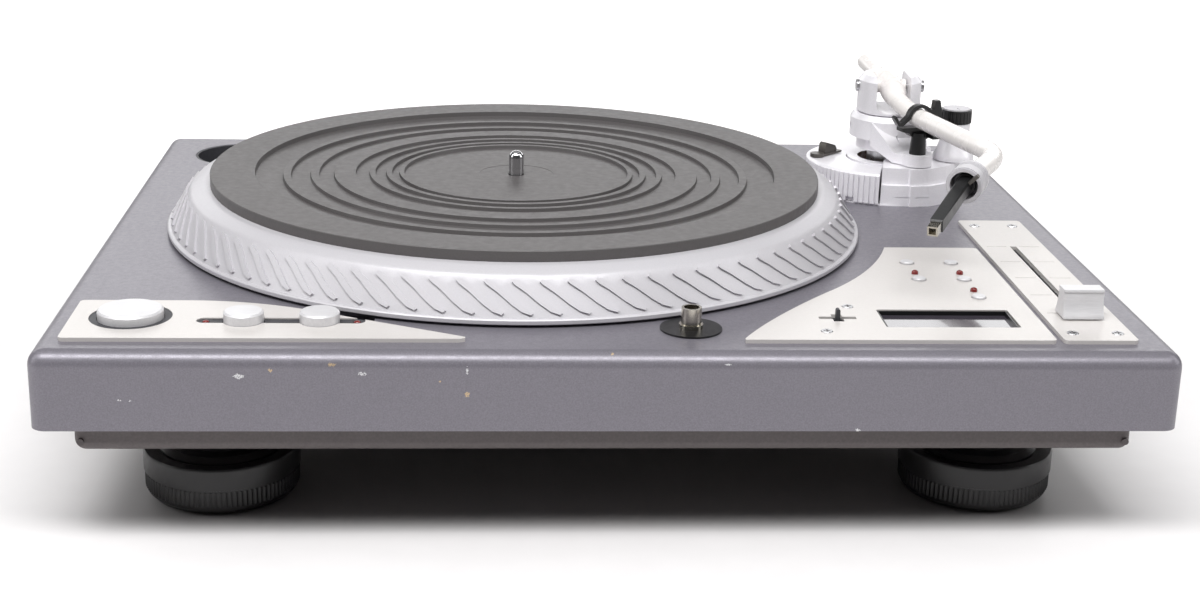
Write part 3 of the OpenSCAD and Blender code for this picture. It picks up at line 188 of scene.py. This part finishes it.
t = plain("pan_paint", srgb(98, 92, 92), 0.55, 0.1, 0.10, 900.0, 0.12)
hit = t.near((-0.1641, FRONT + 0.013, TOP - 0.0358), 0.0014, 0.02, 0.0006, t.noise(900.0))
t.paint(t.mix(hit, t.colour(), white))
M["pan_paint"] = t.mat
M["panel_paint"] = plain("panel_paint", srgb(209, 205, 202), 0.36, 0.1, 0.03, 2200.0).mat
M["dark_plastic"] = plain("dark_plastic", srgb(58, 58, 62), 0.5, 0.0, 0.12, 700.0, 0.08).mat
M["black_plastic"] = plain("black_plastic", srgb(22, 22, 23), 0.34, 0.0, 0.2, 600.0, 0.06).mat
M["red_lens"] = plain("red_lens", srgb(120, 22, 18), 0.16, 0.0, 0.12, 300.0, coat=0.6).mat
M["lens"] = plain("lens", srgb(64, 60, 68), 0.12, 0.0, 0.1, 200.0, coat=0.7).mat
M["steel"] = plain("steel", srgb(186, 186, 188), 0.3, 0.95, 0.06, 900.0).mat
M["polished_steel"] = plain("polished_steel", srgb(214, 214, 216), 0.14, 1.0, 0.03, 900.0).mat
M["grey_steel"] = plain("grey_steel", srgb(98, 95, 91), 0.36, 0.7, 0.1, 700.0, 0.04).mat
M["nickel"] = plain("nickel", srgb(196, 191, 180), 0.22, 1.0, 0.05, 900.0).mat
M["brass"] = plain("brass", srgb(190, 160, 96), 0.3, 1.0, 0.06, 700.0, 0.03).mat
M["winding"] = plain("winding", srgb(150, 92, 52), 0.4, 0.2, 0.15, 900.0, 0.2, 0.0003, (1, 1, 6)).mat
M["board"] = plain("board", srgb(38, 100, 62), 0.42, 0.0, 0.15, 500.0, 0.08).mat
M["iron"] = plain("iron", srgb(88, 84, 82), 0.5, 0.6, 0.15, 600.0, 0.12).mat

# light grey castings, with old brown grease in the recess round the column
t = plain("arm_cast", srgb(238, 236, 240), 0.34, 0.15, 0.03, 1600.0)
x, y, z = t.xyz()
low = t.math("LESS_THAN", z, TOP + 0.0166)
grease = t.math("MULTIPLY", t.ring(AX, AY, 0.0143), low)
t.paint(t.mix(t.math("MULTIPLY", grease, t.span(t.noise(300.0), 0.3, 0.6, 0.45, 0.95)), t.colour(), srgb(92, 62, 34)))
M["arm_cast"] = t.mat
M["platter_metal"] = plain("platter_metal", srgb(198, 196, 200), 0.42, 0.15, 0.03, 1800.0).mat
M["mat_rubber"] = plain("mat_rubber", srgb(84, 81, 81), 0.48, 0.0, 0.06, 1300.0, 0.08).mat
M["tube_paint"] = plain("tube_paint", srgb(236, 232, 229), 0.26, 0.0, 0.02, 900.0).mat
M["button_silver"] = plain("button_silver", srgb(214, 213, 215), 0.36, 0.2, 0.05, 900.0, stretch=(0.2, 4, 1)).mat
M["foot_rubber"] = plain("foot_rubber", srgb(34, 33, 34), 0.36, 0.0, 0.06, 1600.0, 0.02).mat

slot_of = {s["node"]: s["material_slot"] for s in frame["record"]["subparts"]}
for name, o in nodes.items():
    o.data.materials.clear()
    o.data.materials.append(M[slot_of[name]])
    o.data.polygons.foreach_set("use_smooth", [True] * len(o.data.polygons))
    o.data.polygons.foreach_set("material_index", [0] * len(o.data.polygons))
    w = o.modifiers.new("weld", "WELD")
    w.merge_threshold = 0.000002
    e = o.modifiers.new("edges", "EDGE_SPLIT")
    e.split_angle = math.radians(60 if name == "arm_tube" else 32)
    if name != "arm_tube":
        n = o.modifiers.new("normals", "WEIGHTED_NORMAL")
        n.keep_sharp = True

# pale floor: painted shadow under the deck, white far away for the camera alone
floor_mesh = bpy.data.meshes.new("floor")
s = FLOOR_HALF
floor_mesh.from_pydata([(-s, -s, 0), (s, -s, 0), (s, s, 0), (-s, s, 0)], [], [(0, 1, 2, 3)])
floor = bpy.data.objects.new("floor", floor_mesh)
bpy.context.scene.collection.objects.link(floor)
floor.location.z = -0.0002
t = plain("floor", srgb(238, 236, 236), 0.5, 0.0, 0.01, 60.0)
far = t.t.nodes.new("ShaderNodeVectorMath")
far.operation = "LENGTH"
t.link(t.coord, far.inputs[0])
seen = t.t.nodes.new("ShaderNodeLightPath").outputs["Is Camera Ray"]
t.bsdf.inputs["Emission Color"].default_value = (1.0, 0.985, 0.985, 1.0)
t.link(t.math("MULTIPLY", t.span(far.outputs["Value"], 0.3, 0.9, 0.0, 0.7), seen), t.bsdf.inputs["Emission Strength"])
fx, fy, _ = t.xyz()
# painted shadow: the floor's colour turns dark brown inside the deck's footprint
painted_shadow_mask = t.math("MULTIPLY", t.span(t.math("ABSOLUTE", fx), 0.17, 0.215, 1.0, 0.0), t.span(fy, -0.168, -0.15, 0.0, 1.0))
painted_shadow_mask = t.math("MULTIPLY", painted_shadow_mask, t.span(fy, 0.1, 0.165, 1.0, 0.0))
t.paint(t.mix(t.math("MULTIPLY", painted_shadow_mask, 0.6), t.colour(), srgb(60, 56, 54)))
M["floor"] = t.mat
floor_mesh.materials.append(M["floor"])

# white to the camera, faint as a light
world = bpy.data.worlds.new("studio")
bpy.context.scene.world = world
world.use_nodes = True
wt = world.node_tree
wt.nodes.clear()
w_out = wt.nodes.new("ShaderNodeOutputWorld")
w_seen = wt.nodes.new("ShaderNodeBackground")
w_seen.inputs["Color"].default_value = srgb(253, 252, 252)
w_seen.inputs["Strength"].default_value = 1.0
w_lit = wt.nodes.new("ShaderNodeBackground")
w_lit.inputs["Color"].default_value = (0.97, 0.97, 1.0, 1.0)
w_lit.inputs["Strength"].default_value = 0.06
w_mix = wt.nodes.new("ShaderNodeMixShader")
w_path = wt.nodes.new("ShaderNodeLightPath")
wt.links.new(w_path.outputs["Is Camera Ray"], w_mix.inputs["Fac"])
wt.links.new(w_lit.outputs[0], w_mix.inputs[1])
wt.links.new(w_seen.outputs[0], w_mix.inputs[2])
wt.links.new(w_mix.outputs[0], w_out.inputs["Surface"])


def area(name, pos, aim, size, power, color=(1, 1, 1)):
    d = bpy.data.lights.new(name, "AREA")
    d.shape = "RECTANGLE"
    d.size, d.size_y = size
    d.energy = power
    d.color = color
    o = bpy.data.objects.new(name, d)
    o.location = pos
    o.rotation_mode = "QUATERNION"
    o.rotation_quaternion = (Vector(aim) - Vector(pos)).to_track_quat("-Z", "Y")
    bpy.context.scene.collection.objects.link(o)
    return o


area("key", (-0.15, -0.75, 1.45), (0, -0.05, 0.05), (1.7, 0.5), 30.0)
area("top", (0.0, 0.5, 1.7), (0, 0.1, 0.05), (2.2, 1.2), 3.5)
area("back", (0.0, 1.5, 0.62), (0, 0.0, 0.08), (3.4, 0.5), 12.0)
area("left", (-1.3, -0.25, 0.8), (-0.05, -0.05, 0.08), (0.6, 1.2), 5.0)
area("right", (1.3, -0.25, 0.8), (0.05, -0.05, 0.08), (0.6, 1.2), 6.0)

cam_data = bpy.data.cameras.new("camera")
cam = bpy.data.objects.new("camera", cam_data)
bpy.context.scene.collection.objects.link(cam)
bpy.context.scene.camera = cam
flat = math.cos(CAM_PITCH)
fwd = Vector((math.sin(CAM_YAW) * flat, math.cos(CAM_YAW) * flat, -math.sin(CAM_PITCH)))
right = Vector((math.cos(CAM_YAW), -math.sin(CAM_YAW), 0))
up = right.cross(fwd)
r2 = right * math.cos(CAM_ROLL) + up * math.sin(CAM_ROLL)
u2 = up * math.cos(CAM_ROLL) - right * math.sin(CAM_ROLL)
rot = Matrix((r2, u2, -fwd)).transposed().to_4x4()
cam.matrix_world = Matrix.Translation(CAM_AT) @ rot
cam_data.sensor_width = SENSOR
cam_data.lens = SENSOR * FOCAL_PX / PHOTO_W
cam_data.clip_start = 0.01
cam_data.clip_end = 50.0
bpy.context.scene.view_settings.view_transform = "Standard"
